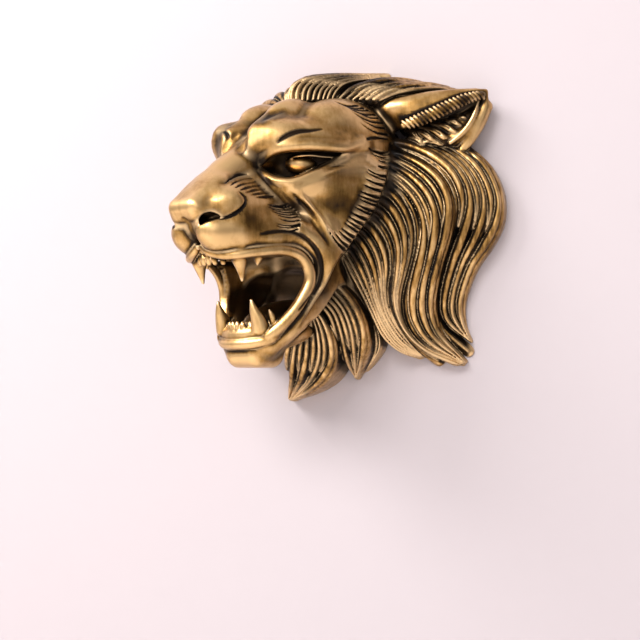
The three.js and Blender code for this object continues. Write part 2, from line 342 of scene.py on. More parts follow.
def mark(field, pixels, width, depth, taper=(1, 1), base=None, **how):
    """a groove or ridge along places seen in the frame, and its twin on the far side of the face"""
    p = on_face(base or field, pixels)
    if len(p) > 1:
        groove(field, p, width, depth, taper=taper, **how)


def darts(field, edge, inward, count, width, depth, base=None, jitter=0.12, wide=0.15, flare=1.3):
    """pointed nicks in from an edge of fur, as seen in the frame: widest and deepest at the edge"""
    E = spline([(x, y, 0) for x, y in edge], 1.0)[:, :2]
    D = np.array(inward, float)
    for i in range(count):
        t = (i + 0.5) / count + rng.uniform(-jitter, jitter) / count
        e = E[int(t * (len(E) - 1))]
        x = t * (len(D) - 1)
        j = min(int(x), len(D) - 2)
        d = (D[j] + (D[j + 1] - D[j]) * (x - j)) * rng.uniform(0.8, 1.15)
        bend = np.array([d[1], -d[0]]) * 0.10
        places = [tuple(e - d * wide), tuple(e + d * 0.25 + bend), tuple(e + d * 0.7 + bend * 0.8), tuple(e + d)]
        for sink, r in ((-width * 0.1, width), (-depth * 0.5, width * 0.85), (-depth + width * 0.5, width * 0.6)):
            at = on_face(base, places, [sink, sink * 0.95, sink * 0.55, 0.2])
            if len(at) == 4:
                bar(field, [(*p, q) for p, q in zip(at, (r * flare, r, r * 0.6, 0.4))], k=0.4, op="cut", step=4, margin=4)


def outline_table(outline, pad=14.0, cell=0.5):
    """how far a place of the frame lies outside a smooth closed outline, as a table"""
    P = spline([(x, y, 0) for x, y in outline] + [(*outline[0], 0)], 2.0)[:-1, :2]
    lo, hi = P.min(0) - pad, P.max(0) + pad
    gx, gy = np.arange(lo[0], hi[0], cell), np.arange(lo[1], hi[1], cell)
    X, Y = np.meshgrid(gx, gy, indexing="ij")
    best, inside = np.full(X.shape, 1e9), np.zeros(X.shape, bool)
    for (x0, y0), (x1, y1) in zip(P, np.roll(P, -1, 0)):
        t = np.clip(((X - x0) * (x1 - x0) + (Y - y0) * (y1 - y0)) / ((x1 - x0) ** 2 + (y1 - y0) ** 2 + 1e-9), 0, 1)
        best = np.minimum(best, np.hypot(X - x0 - t * (x1 - x0), Y - y0 - t * (y1 - y0)))
        cross = (y0 > Y) != (y1 > Y)
        inside ^= cross & (X < (x1 - x0) * (Y - y0) / (y1 - y0 + 1e-12) + x0)
    return lo, cell, np.where(inside, -best, best).astype(np.float32)


def within(field, base, outline, reach=26.0):
    """the window round an outline seen on the near side of the face (or its twin), and how far outside it each node is, in mm"""
    lo, cell, table = outline_table(outline)
    pts = np.array([HEAD @ (P if P is not None else at_depth(*p, -60.0)) for p, P in ((q, cast(base, *q)) for q in outline)])
    for side in (1, -1):
        q = pts.copy()
        q[:, 1] *= side
        W = q @ HEAD
        w = field.window(W.min(0) - reach, W.max(0) + reach)
        if w is None:
            continue
        X, Y, Z = (field.ax[i][w[i]] for i in range(3))
        X, Y, Z = X[:, None, None], Y[None, :, None], Z[None, None, :]
        a = X * HEAD[0][0] + Y * HEAD[0][1]
        sd = X * HEAD[1][0] + Y * HEAD[1][1]
        other = sd * side < 0
        sd = np.abs(sd)
        x, y = a * HEAD[0][0] + sd * HEAD[1][0] - EYE_POINT[0], a * HEAD[0][1] + sd * HEAD[1][1] - EYE_POINT[1]
        z = Z - EYE_POINT[2]
        dep = x * FWD[0] + y * FWD[1] + z * FWD[2]
        px = 320 + LENS * (x * RIGHT[0] + y * RIGHT[1]) / dep
        py = 320 - LENS * (x * UP[0] + y * UP[1] + z * UP[2]) / dep
        i = np.clip((px - lo[0]) / cell, 0, table.shape[0] - 1.01)
        j = np.clip((py - lo[1]) / cell, 0, table.shape[1] - 1.01)
        i0, j0 = i.astype(np.int32), j.astype(np.int32)
        fi, fj = (i - i0).astype(np.float32), (j - j0).astype(np.float32)
        v = (table[i0, j0] * (1 - fi) + table[i0 + 1, j0] * fi) * (1 - fj) + (table[i0, j0 + 1] * (1 - fi) + table[i0 + 1, j0 + 1] * fi) * fj
        yield w, (v * (dep / LENS)).astype(np.float32), other, sd


def carve(field, base, outline, depth, k=2.0, keep=0.0):
    """sinks a pit of the seen outline, its floor as deep under the surface as depth says, and keep clear of the middle"""
    for w, v, other, sd in within(field, base, outline):
        pit = np.maximum(v, -(base.d[w] + np.float32(depth)))
        put(field, w, np.where(other, FAR, np.maximum(pit, keep - sd)) if keep else pit, "cut", k)


def swell(field, base, outline, height, soft=6.0):
    """lifts the surface inside the seen outline by height (or sinks it, under 0), over a soft border"""
    for w, v, other, sd in within(field, base, outline):
        t = np.where(other, 0, np.clip(0.5 - v / np.float32(soft), 0, 1)) * np.clip(1.6 - np.abs(base.d[w]) / 16, 0, 1)
        field.d[w] -= np.float32(height) * (t * t * (3 - 2 * t))


# ---------- head ----------
MOUTH = [(330, -62), (262, -44), (236, -42), (212, -38), (184, -35), (164, -40), (153, -52), (152, -68), (161, -86), (172, -104),
         (184, -118), (200, -124), (330, -124)]


def sculpt_head():
    f = Field()
    # skull and forehead
    ell(f, (30, 0, 76), (130, 90, 90), k=0)
    ell(f, (62, 50, 112), (84, 44, 54), rot=(4, 0, 0), k=12)        # temples
    ell(f, (130, 25, 121), (48, 26, 40), rot=(-20, 0, 0), k=9)      # the two lobes of the forehead
    ell(f, (166, 20, 106), (38, 18, 26), rot=(-20, 0, 0), k=9)
    ell(f, (148, 48, 108), (54, 24, 22), rot=(4, -28, 0), k=14)     # brow
    bar(f, [(195, 26, 92, 5), (184, 37, 97, 8), (162, 54, 99, 10), (122, 76, 100, 10), (75, 90, 104, 6)], k=14)
    bar(f, [(160, 50, 126, 10), (184, 45, 119, 9), (188, 45, 109, 9.5), (184, 47, 97, 7), (160, 56, 92, 8)], k=12, only=-1)   # its knob, seen against the wall
    # muzzle
    bar(f, [(110, 0, 96, 34), (175, 0, 78, 29), (215, 0, 58, 25), (240, 0, 38, 22), (256, 0, 24, 19)], k=14)
    box(f, (205, 0, 26), (40, 24, 14), 18, rot=(-22, 0, 0), k=12)
    box(f, (180, 0, 8), (50, 30, 16), 22, k=14)
    box(f, (259, 0, 28), (22, 14, 3), 12, rot=(-38, 0, 0), k=13)    # nose leather
    ell(f, (252, 21, 14), (28, 16, 15), rot=(-18, -10, 0), k=10)    # wings of the nose
    ell(f, (255, 0, 2), (20, 13, 22), k=6)                          # under the nose
    ell(f, (239, 24, -10), (40, 23, 27), rot=(0, -6, 0), k=7)       # whisker pads
    ell(f, (208, 34, -8), (50, 23, 28), rot=(-4, -12, 0), k=12)
    ell(f, (184, 42, -14), (42, 23, 24), rot=(-4, -16, 0), k=12)
    # cheeks
    bar(f, [(186, 38, 48, 5), (168, 46, 48, 18), (115, 66, 46, 30), (45, 78, 52, 36)], k=18)
    ell(f, (82, 60, 6), (64, 40, 68), k=16)
    bar(f, [(186, 44, 4, 14), (150, 60, -12, 19), (122, 70, -36, 20), (112, 70, -70, 16), (130, 64, -96, 11)], k=12)
    # lower jaw
    box(f, (170, 0, -144), (11, 15, 7), 16, k=8)
    bar(f, [(176, 30, -139, 14), (156, 45, -120, 13), (134, 56, -92, 15), (104, 60, -48, 27)], k=12)
    ell(f, (132, 0, -128), (50, 38, 16), rot=(-12, 0, 0), k=12)
    ell(f, (48, 0, -40), (60, 58, 72), k=18)

    open_mouth(f)
    return f


def open_mouth(f):
    slot_cut(f, MOUTH, 95, k=4)
    ell(f, (150, 0, -76), (84, 57, 36), k=6, op="cut")
    ell(f, (205, 0, -38), (52, 35, 18), k=5, op="cut")


def mouth_parts(f):
    # lips: round the pads, back along the cheek, down and forward to the chin; the far corner sits further forward
    fore = [(258, 3, -27, 4), (256, 14, -34, 5), (248, 29, -38, 5), (236, 41, -37, 5.5)]
    hind = [(187, 40, -130, 6.5)]
    bar(f, fore + [(212, 53, -33, 6), (184, 61, -30, 6.5), (161, 66, -35, 7), (149, 69, -49, 7), (147, 69, -66, 7), (156, 65, -86, 7),
                   (167, 60, -103, 7), (179, 50, -120, 7)] + hind, k=4, only=1)
    bar(f, fore + [(210, 53, -34, 5.5), (188, 62, -41, 5), (170, 67, -53, 5), (161, 69, -68, 5), (161, 67, -86, 5), (167, 60, -104, 5.5),
                   (177, 50, -121, 6)] + hind, k=4, only=-1)
    for i in range(11):                              # the far cheek, behind its lip
        u = -40 - 6.5 * i
        a = 166 - 10 * math.sin(math.pi * i / 10)
        wide = 66 - 0.4 * max(0, -80 - u)
        bar(f, [(a + 8 * (i == 0), wide - 2, u, 5.5), (148, wide, u, 8), (124, wide, u, 11)], k=3, only=-1, margin=6)
    bar(f, [(176, 46, -126, 4), (184, 41, -133, 6), (196, 24, -138, 6.5), (200, 0, -139, 6.5), (196, -24, -138, 6.5), (184, -41, -133, 6),
            (176, -46, -126, 4)], k=1.5)
    # gums and tongue
    bar(f, [(142, 46, -114, 10), (180, 36, -124, 10), (192, 18, -127, 10), (195, 0, -128, 10), (192, -18, -127, 10), (180, -36, -124, 10),
            (142, -46, -114, 10)], k=3)
    bar(f, [(80, 0, -100, 20), (130, 0, -104, 19), (164, 0, -113, 16), (180, 0, -117, 9)], k=5)
    ell(f, (230, 0, -30), (24, 34, 9), k=3)
    # teeth
    bar(f, [(229, 35, -27, 13), (229, 35, -38, 10), (226, 35, -52, 5.6), (223, 34, -66, 1.6)], k=1.5, step=3)
    bar(f, [(190, 31, -120, 11.5), (194, 31, -111, 9), (200, 30, -100, 5.4), (204, 29, -88, 1.6)], k=1.5, step=3)
    bar(f, [(209, 46, -29, 8), (208, 45, -38, 6), (208, 44, -47, 1.5)], k=1.5, step=3)
    bar(f, [(178, 43, -118, 7), (183, 43, -108, 4.5), (188, 43, -99, 1.2)], k=1.5, step=3)
    for i in range(3):
        back = 1.8 * i * i
        bar(f, [(247 - back, 4.2 + 8.0 * i, -32, 4.6), (248 - back, 4.2 + 8.0 * i, -40, 4.2), (247 - back, 4.2 + 8.0 * i, -45, 3.6)], k=1, step=3)
        bar(f, [(200 - back, 3.6 + 7.2 * i, -122, 4.0), (202 - back, 3.6 + 7.2 * i, -117, 3.4), (202 - back, 3.6 + 7.2 * i, -114, 2.4)], k=1, step=3)


def seen_bar(f, base, pixels, radii, lift=0.0, **how):
    """a bar laid along the places where the camera sees them on the head, raised or sunk by lift"""
    at = on_face(base, pixels, lift)
    bar(f, [(*p, r) for p, r in zip(at, radii)], **how)


def copy_of(f):
    base = Field.__new__(Field)
    base.lo, base.h, base.n, base.ax, base.d = f.lo, f.h, f.n, f.ax, f.d.copy()
    return base


BALLS = []                                         # the middles of the eyeballs


def eyes(f, base):
    # a deep socket, the ball in it, and a lid above and below
    carve(f, base, [(260, 166), (268, 158), (280, 153), (298, 151), (320, 151), (338, 152), (346, 152), (336, 157), (324, 163), (310, 170), (296, 176),
                    (284, 177), (272, 174)], 11.0, k=2.0)
    at = on_face(base, [(301, 164)], -11)[0]
    ell(f, at, (20, 15, 13), rot=(8, -30, 0), k=0.5)
    BALLS.extend(np.array([at[0], at[1] * side, at[2]]) @ HEAD for side in (1, -1))
    seen_bar(f, base, [(262, 161), (272, 152), (286, 147), (306, 145), (326, 146), (346, 147), (362, 141)], [3, 4.5, 5, 5, 5, 4.4, 3],
             lift=-1.5, k=7, step=4)
    seen_bar(f, base, [(286, 160), (296, 156), (310, 155), (324, 156.5), (338, 157)], [0.9, 1.4, 1.6, 1.5, 0.9], lift=-3.0, k=1.0, step=3)
    seen_bar(f, base, [(261, 172), (270, 179), (284, 182), (298, 180), (314, 173), (330, 165), (346, 156)], [2, 3, 3.4, 3.4, 3.2, 2.8, 2], lift=-1.5, k=5, step=4)


def nostrils(f, base):
    carve(f, base, [(199, 219), (203, 214), (210, 212), (217, 214), (220.5, 217.5), (213, 220), (206, 222), (200, 225)], 9.0, k=1.5, keep=5.5)


def nick(f, base, pixels, radii, sink=0.0, k=1.0):
    """a cut with a round bottom along places seen on the head, tapering as the radii say"""
    at = on_face(base, pixels, -sink)
    bar(f, [(*p, r) for p, r in zip(at, radii)], k=k, op="cut", step=4, margin=4)


def face_marks(f):
    base = copy_of(f)
    # nose leather: its wing stands over the pad with a crisp edge
    swell(f, base, [(214, 200), (224, 194), (238, 192), (245, 199), (242, 206), (236, 211), (228, 215), (220, 212)], 1.8, soft=12.0)
    nick(f, base, [(240, 192), (246, 199), (243.5, 206), (237, 212), (229, 216.5), (220, 218.5)], [0.6, 1.7, 1.8, 1.8, 1.7, 1.2])
    groove(f, front(base, [(0.0, 2.0), (0.0, -10.0), (0.0, -22.0), (0.0, -34.0)]), 3.0, 6.0, taper=(0, 0))
    # forehead
    groove(f, front(base, [(15.0, 86.0), (15.0, 95.0), (12.5, 105.0), (8.0, 116.0)]), 4.4, 5.5, taper=(0.6, 0.8))
    swell(f, base, [(250, 118), (258, 108), (270, 103), (284, 104), (287, 108), (276, 115), (264, 121)], 1.8, soft=14.0)
    mark(f, [(259, 124), (268, 117), (280, 109), (292, 103)], 6.0, 2.6, base=base)
    nick(f, base, [(277, 144), (282, 139), (290, 134), (300, 131), (311, 130.5), (322, 129)], [0.8, 2.2, 2.6, 2.4, 1.6, 0.5], k=2.0)
    mark(f, [(280, 117), (300, 115), (325, 114), (350, 110)], 8.0, 1.0, base=base)
    at = on_face(base, [(224, 131), (227.5, 136), (226, 143)], -0.5)   # beside the far knob
    bar(f, [(*p, r) for p, r in zip(at, (1.2, 2.4, 1.2))], k=2.5, op="cut", step=3, margin=4, only=1)
    # under the eye and down the cheek
    mark(f, [(258, 168), (264, 177), (274, 188), (286, 200), (298, 213)], 3.2, 2.6, base=base)
    mark(f, [(283, 181), (301, 195), (318, 213), (336, 240), (344, 251)], 4.6, -3.0, base=base)
    mark(f, [(290, 190), (304, 206), (318, 228), (330, 247)], 2.4, 2.6, base=base)
    mark(f, [(303, 192), (318, 209), (331, 228), (341, 246)], 2.4, 2.4, base=base)
    swell(f, base, [(308, 196), (322, 186), (344, 176), (364, 176), (364, 196), (352, 222), (342, 238), (328, 216)], -5.0, soft=20.0)
    swell(f, base, [(282, 180), (300, 178), (330, 166), (360, 156), (382, 158), (380, 168), (350, 170), (320, 182), (296, 192)], 2.4, soft=12.0)
    nick(f, base, [(338, 151.5), (350, 147), (362, 141), (374, 138), (388, 139)], [1.2, 1.8, 1.8, 1.6, 1.2])
    # side of the nose
    swell(f, base, [(222, 184), (232, 177), (246, 174), (262, 184), (276, 197), (262, 200), (246, 197), (236, 190)], -1.6, soft=13.0)
    # lip to cheek fold
    nick(f, base, [(261, 234), (272, 232), (286, 231), (299, 234), (311, 243), (319, 256), (321, 271), (317, 287), (308, 299), (299, 310)],
         [0.6, 1.4, 1.8, 2.2, 2.3, 2.3, 2.1, 1.8, 1.4, 0.6], k=2.0)
    # behind the fringe of the cheek the face drops to the mane
    carve(f, base, [(390, 144), (389, 152), (388, 168), (384, 186), (374, 210), (358, 233), (346, 251), (340, 266), (356, 292), (392, 280), (424, 240), (442, 190),
                    (434, 150), (410, 142)], 30.0, k=3.0, keep=56.0)
    carve(f, base, [(343, 254), (336, 264), (326, 285), (313, 305), (301, 325), (291, 345), (285, 360), (306, 372), (346, 350), (380, 310), (384, 280), (362, 262)],
          30.0, k=3.0, keep=60.0)
    carve(f, base, [(384, 95), (397, 104), (403, 118), (404, 144), (416, 146), (430, 140), (424, 104), (404, 90)], 16.0, k=3.0, keep=56.0)
    darts(f, [(388, 150), (387, 168), (383, 186), (372, 210), (356, 233), (344, 252)], [(-17, -4), (-25, -11), (-17, -21)], 21, 2.1, 9.0, base=base, jitter=0.3, wide=0.28, flare=1.75)
    darts(f, [(364, 95), (382, 97), (395, 107), (401, 121), (402, 143)], [(-28, 0), (-27, -6), (-19, -11)], 14, 1.6, 4.4, base=base, wide=0.3)
    darts(f, [(352, 104), (366, 110), (378, 120), (386, 136)], [(-22, -4), (-24, -11)], 8, 1.3, 2.0, base=base)
    darts(f, [(284, 204), (290, 208), (295, 214), (297, 223), (294, 231)], [(-18, 0), (-21, -2), (-20, 1)], 10, 1.25, 3.0, base=base)
    for i in range(7):                              # hair beside the nose
        t = i / 6
        x0, y0 = 247 + 27 * t, 174 + 22 * t
        length = 22 - 4 * t
        nick(f, base, [(x0, y0), (x0 - length * 0.5, y0 + 1.5 - t), (x0 - length, y0 + 9 - 8 * t)], [0.9, 1.9, 0.7], sink=1.9, k=0.5)


# ---------- mane ----------
def guide(root, tip, lift, places, n=30):
    """a strand's middle line through places in the frame; off the wall by root to tip, with a swell between"""
    P = spline([(x, y, 0) for x, y in places], 1.5)[:, :2]
    s = np.r_[0, np.cumsum(np.hypot(*np.diff(P, axis=0).T))]
    at = np.linspace(0, 1, n)
    x, y = np.interp(at * s[-1], s, P[:, 0]), np.interp(at * s[-1], s, P[:, 1])
    depth = root + (tip - root) * at + lift * np.sin(math.pi * at)
    return np.array([at_depth(*v) for v in zip(x, y, depth)])


# a lock lies between two guides: the number of strands, the thickest a strand may be, and how far it stands proud
A0 = guide(-20, -8, -8, [(458, 143), (473, 153), (487, 166), (496, 182), (501.5, 202), (498.5, 224), (488, 244), (475, 262), (466, 283), (461, 305), (464, 325), (471, 341)])
A1 = guide(-50, -10, -16, [(386, 143), (404, 146), (426, 155), (444, 168), (455, 186), (458, 205), (453, 230), (446, 255), (440, 280), (437, 302), (442, 323), (469, 341)])
B0 = guide(-53, -12, -18, [(384, 147), (402, 152), (422, 161), (439, 174), (449, 190), (452, 208), (448, 232), (440, 257), (434, 282), (431, 305), (438, 330), (465, 361)])
B1 = guide(-72, -14, -18, [(378, 174), (396, 184), (409, 197), (418, 213), (422, 232), (420, 254), (415, 276), (411, 298), (414, 322), (430, 344), (463, 363)])
C0 = guide(-74, -12, -18, [(375, 182), (395, 192), (407, 208), (413, 226), (413, 246), (408, 268), (402, 290), (401, 310), (408, 330), (426, 349), (460, 364)])
C1 = guide(-90, -14, -16, [(358, 208), (378, 216), (391, 234), (396, 254), (395, 276), (393, 298), (398, 318), (409, 336), (428, 352), (452, 364)])
D0 = guide(-92, -12, -16, [(352, 214), (371, 223), (385, 243), (389, 264), (387, 286), (389, 306), (398, 324), (410, 341), (423, 356)])
D1 = guide(-98, -12, -16, [(328, 238), (345, 250), (357, 268), (366, 288), (374, 308), (384, 328), (398, 346), (421, 357)])
E0 = guide(-100, -14, -12, [(322, 244), (339, 256), (350, 276), (361, 296), (371, 316), (382, 337), (399, 352), (418, 358)])
G0 = guide(-60, -10, -6, [(360, 300), (370, 322), (374, 342), (371, 358), (362, 372)])
G1 = guide(-60, -10, -6, [(366, 300), (376, 324), (380, 345), (372, 362), (363, 373)])
H0 = guide(-100, -14, -14, [(340, 284), (354, 300), (364, 320), (367, 341), (363, 360), (357, 378)])
H1 = guide(-104, -16, -14, [(314, 302), (327, 316), (333, 335), (337, 352), (345, 367), (355, 378)])
J0 = guide(-102, -20, -10, [(313, 304), (328, 320), (335, 338), (338, 354), (339, 364), (337, 373)])
J1 = guide(-102, -20, -10, [(310, 306), (325, 322), (332, 339), (335, 354), (336, 364), (334, 373)])
K0 = guide(-104, -18, -14, [(312, 304), (325, 320), (333, 338), (335, 356), (329, 373), (314, 388), (293, 400)])
K1 = guide(-110, -20, -12, [(299, 316), (290, 332), (285.5, 348), (284, 362), (286, 377), (286.5, 389), (288, 399)])
# over the forehead
P0 = guide(-112, -8, -12, [(289, 101), (290, 90), (297, 81), (313, 77), (345, 74.5), (387, 73.5)])
P1 = guide(-90, -10, -14, [(334, 99), (338, 91), (346, 84), (360, 80.5), (374, 79), (388, 78.5)])
Q0 = guide(-88, -10, -12, [(336, 99), (347, 89), (362, 84), (380, 81.5), (400, 82), (426, 87.5)])
Q1 = guide(-70, -10, -12, [(382, 100), (396, 94.5), (411, 91), (427, 89.5), (441, 89), (455, 91)])
LOCKS = [(A0, A1, 6, 5.8, 0), (A1, B0, 1, 4.0, -5), (B0, B1, 5, 5.6, 2), (B1, C0, 1, 4.0, -3), (C0, C1, 3, 5.4, 2), (C1, D0, 1, 3.6, -3),
         (D0, D1, 5, 5.2, 3), (D1, E0, 2, 4.2, 1), (G0, G1, 2, 4.5, -4), (H0, H1, 6, 4.6, 2), (J0, J1, 1, 3.0, -5), (K0, K1, 8, 4.2, 3),
         (P0, P1, 9, 4.6, 0), (Q0, Q1, 7, 4.4, 0)]
FINE = {12: 0.29, 13: 0.31}                        # locks with thinner strands and wider gaps
THIN = {0: 0.45, 2: 0.42, 9: 0.6, 11: 0.6, 12: 0.34, 13: 0.4}   # locks whose every second strand runs out, and where


def sweep(root, tip, bow, wave, lift, n=30):
    """a strand's middle line from root to tip, bent in the plane of the wall by a bow and an S, and lifted off it"""
    A, B = np.array(root, float), np.array(tip, float)
    t = np.linspace(0, 1, n)
    d = (B - A)[[0, 2]]
    nrm = np.array([d[1], -d[0]]) / (np.hypot(*d) + 1e-9)
    off = bow * np.sin(math.pi * t) + wave * np.sin(2 * math.pi * t)
    P = A + (B - A) * t[:, None]
    P[:, 0] += nrm[0] * off
    P[:, 2] += nrm[1] * off
    P[:, 1] += lift * np.sin(math.pi * t)
    return P


# the far side, which turns to the wall: the same locks, plainer
F_TOP = sweep((-52, -104, 156), (-118, -22, 168), 14, 0, -8)
F_MID = sweep((-98, -74, 120), (-160, -16, 96), 12, 4, -8)
F_LOW = sweep((-116, -62, 70), (-164, -16, -44), 10, -6, -8)
F_END = sweep((-66, -80, -62), (-112, -20, -158), 12, -6, -8)
LOCKS += [(F_TOP, F_MID, 5, 6.0, 0), (F_MID, F_LOW, 6, 6.0, 0), (F_LOW, F_END, 7, 6.0, 0), (P0, F_TOP, 5, 5.0, -1)]


def sculpt_mane():
    m = Field()
    for lock, (A, B, n, most, proud) in enumerate(LOCKS):
        out = THIN.get(lock, 2.0)
        room = np.linalg.norm(A - B, axis=1)
        wide = rng.uniform(0.75, 1.25, n) if n > 2 else np.ones(n)
        wide /= wide.sum()
        mid = np.cumsum(wide) - wide / 2
        for i in range(n):
            P = A * (1 - mid[i]) + B * mid[i]
            s = np.linspace(0, 1, len(P))
            P[:, 1] -= proud + rng.uniform(-0.8, 0.8)
            own = room * wide[i]
            late = np.clip((s - out + 0.10) / 0.2, 0, 1)
            if i % 2:                                                # runs out and sinks away
                last = int(len(P) * min(1.0, out + rng.uniform(0.06, 0.16)))
                P, own, s, late = P[:last], own[:last], s[:last], late[:last]
                P[:, 1] += 5 * late
                R = np.clip(own * FINE.get(lock, 0.37) * (1 - 0.75 * late), 0.9, most)
            else:
                own = own * (1 + 0.75 * late)
                R = np.clip(own * FINE.get(lock, 0.37), 1.15, most)
            if len(P) < 4:
                continue
            R *= (0.7 + 0.3 * np.clip(s * 6, 0, 1)) * (1 - 0.45 * np.clip((s - 0.85) / 0.15, 0, 1) ** 1.5)
            bar(m, np.c_[P, R], k=0.3, frame=WALL, step=6, margin=8)
            Q = P.copy()
            Q[:, 1] += 8.5
            bar(m, np.c_[Q, np.clip(own * 0.7, 2.2, 8.0)], k=0, frame=WALL, step=9, margin=4)
    m.d = np.minimum.accumulate(m.d, axis=1)
    open_mouth(m)
    return m


# ---------- ear ----------
def ear(f):
    # the smooth back of the ear, and the cup below it
    rear = [(376, 112, -44, 12), (394, 109, -56, 14), (410, 105, -55, 12.5), (430, 99, -47, 9.5), (452, 95, -37, 7), (470, 93.5, -30, 5), (485, 92, -24, 4)]
    bar(f, [(*at_depth(x, y, z), r) for x, y, z, r in rear], k=8, frame=WALL)
    rear = [(396, 121, -46, 12), (412, 116, -54, 13), (434, 107, -49, 10), (455, 99, -40, 7), (474, 94.5, -29, 4)]
    bar(f, [(*at_depth(x, y, z), r) for x, y, z, r in rear], k=10, frame=WALL)
    bar(f, [(104, -26, 122, 20), (138, -22, 126, 20), (164, -19, 140, 16), (182, -17, 160, 9)], k=6, frame=WALL)
    web = [(410, 126, -20, 14), (430, 119, -18, 14), (450, 111, -16, 12), (466, 105, -16, 10), (479, 100, -16, 6)]
    bar(f, [(*at_depth(x, y, z), r) for x, y, z, r in web], k=5, frame=WALL)
    hollow = [at_depth(*v) for v in [(408, 136, -62), (426, 135, -58), (445, 128, -52), (461, 118, -44), (474, 107, -36)]]
    bar(f, [(*p, r) for p, r in zip(hollow, (8, 12, 13.5, 12, 6))], k=2, op="cut", frame=WALL)
    rim = [(*at_depth(404, 125.5, -68), 5.5), (*at_depth(424, 118, -66), 7.0), (*at_depth(444, 108.5, -58), 7.0), (*at_depth(465, 99, -45), 6.0),
           (*at_depth(482, 94.5, -30), 4.4)]
    bar(f, [(x, y, z, r - 1.3) for x, y, z, r in rim], k=2, frame=WALL)
    R = spline(rim, 0.5)
    count = 20
    for i in range(count):
        j = int((i + 0.5) / count * (len(R) - 1))
        p, r = R[j, :3], R[j, 3]
        d = R[min(j + 3, len(R) - 1), :3] - R[max(j - 3, 0), :3]
        d /= np.linalg.norm(d)
        across = np.cross(d, -FWD)
        across /= np.linalg.norm(across)
        arc = []
        for turn in (-80, -40, 0, 40, 80):
            c, sn = math.cos(math.radians(turn)), math.sin(math.radians(turn))
            arc.append((*(p - FWD * (r * 0.66 * c) + across * (r * 1.05 * sn) + d * (3.2 * sn)), 2.0 * (1 - 0.25 * abs(sn))))
        bar(f, arc, k=0.3, frame=WALL, step=2.5, margin=5)
    # the rear rim: a smooth fold, and a thin roll inside it
    rear = [(485, 96, -24, 4), (484, 108, -22, 6), (478, 124, -22, 8), (469, 139, -24, 8), (462, 150, -26, 6)]
    bar(f, [(*at_depth(x, y, z), r) for x, y, z, r in rear], k=3, frame=WALL)
    roll = [(478, 101, -29, 2.0), (475, 112, -33, 2.8), (469, 124, -35, 3.4), (461, 134, -37, 3.4), (450, 143, -40, 2.6)]
    bar(f, [(*at_depth(x, y, z), r) for x, y, z, r in roll], k=2.0, frame=WALL, step=3)
    # the crest ends in a roll
    bar(f, [(*at_depth(381, 77.4, -20), 3.6), (*at_depth(388.5, 77.4, -15), 4.2)], k=2, frame=WALL)
    bar(f, [(*at_depth(386, 77.4, -17), 2.0), (*at_depth(393, 77.6, -13), 2.4)], k=0.4, op="cut", frame=WALL)
    # tufts inside
    seen = copy_of(f)
    leaves = ((405, 131, 421, 139, 3.2), (411, 130, 434, 140, 4.0), (420, 127, 446, 138, 4.4), (432, 124, 455, 132, 4.0), (443, 121, 460, 125, 3.2),
              (450, 117, 465, 118, 2.6), (409, 138, 424, 144, 3.0), (424, 142, 442, 145, 3.0))
    for x0, y0, x1, y1, r in leaves:
        mx, my = (x0 + x1) / 2 + 1.0, (y0 + y1) / 2 - 1.5
        seen_bar(f, seen, [(x0, y0), (mx, my), (x1 - 3, y1 - 0.8), (x1, y1)], (r * 0.6, r, r * 0.95, r * 0.6), lift=1.0, k=0.5, step=3, only=1)
        seen_bar(f, seen, [(x0 + 4, y0 + 1), (mx, my), (x1 - 4, y1 - 1.5)], (0.5, 0.9, 0.5), lift=[r * 0.95, r + 1.2, r * 0.95], k=0.4, step=3, only=1, op="cut")


def build():
    t0 = time.time()
    f = sculpt_head()
    print("head", round(time.time() - t0, 1))
    mouth_parts(f)
    face_marks(f)
    base = copy_of(f)
    eyes(f, base)
    nostrils(f, base)
    ear(f)
    print("face", round(time.time() - t0, 1))
    m = sculpt_mane()
    print("mane", round(time.time() - t0, 1))
    f.d = smin(f.d, m.d, 1.5)
    # everything behind the relief is closed down to the wall
    x, z = f.ax[0][:, None] + 14, f.ax[2][None, :] - 20
    disc = np.sqrt((x / 130) ** 2 + (z / 138) ** 2)
    deep = -30 - 66 * np.sqrt(np.clip(1 - disc ** 2, 0, 1))
    y = f.ax[1][None, :, None]
    slab = np.maximum((deep[:, None, :] - y) * 0.7, (disc[:, None, :] - 1) * 120).astype(np.float32)
    f.d = smin(f.d, slab, 4)
    # cut flat at the wall
    f.d = np.maximum(f.d, f.ax[1][None, :, None] - 0.0)
    return f, m


field, mane = build()
print("field", round(time.time() - START, 1), field.d.shape)


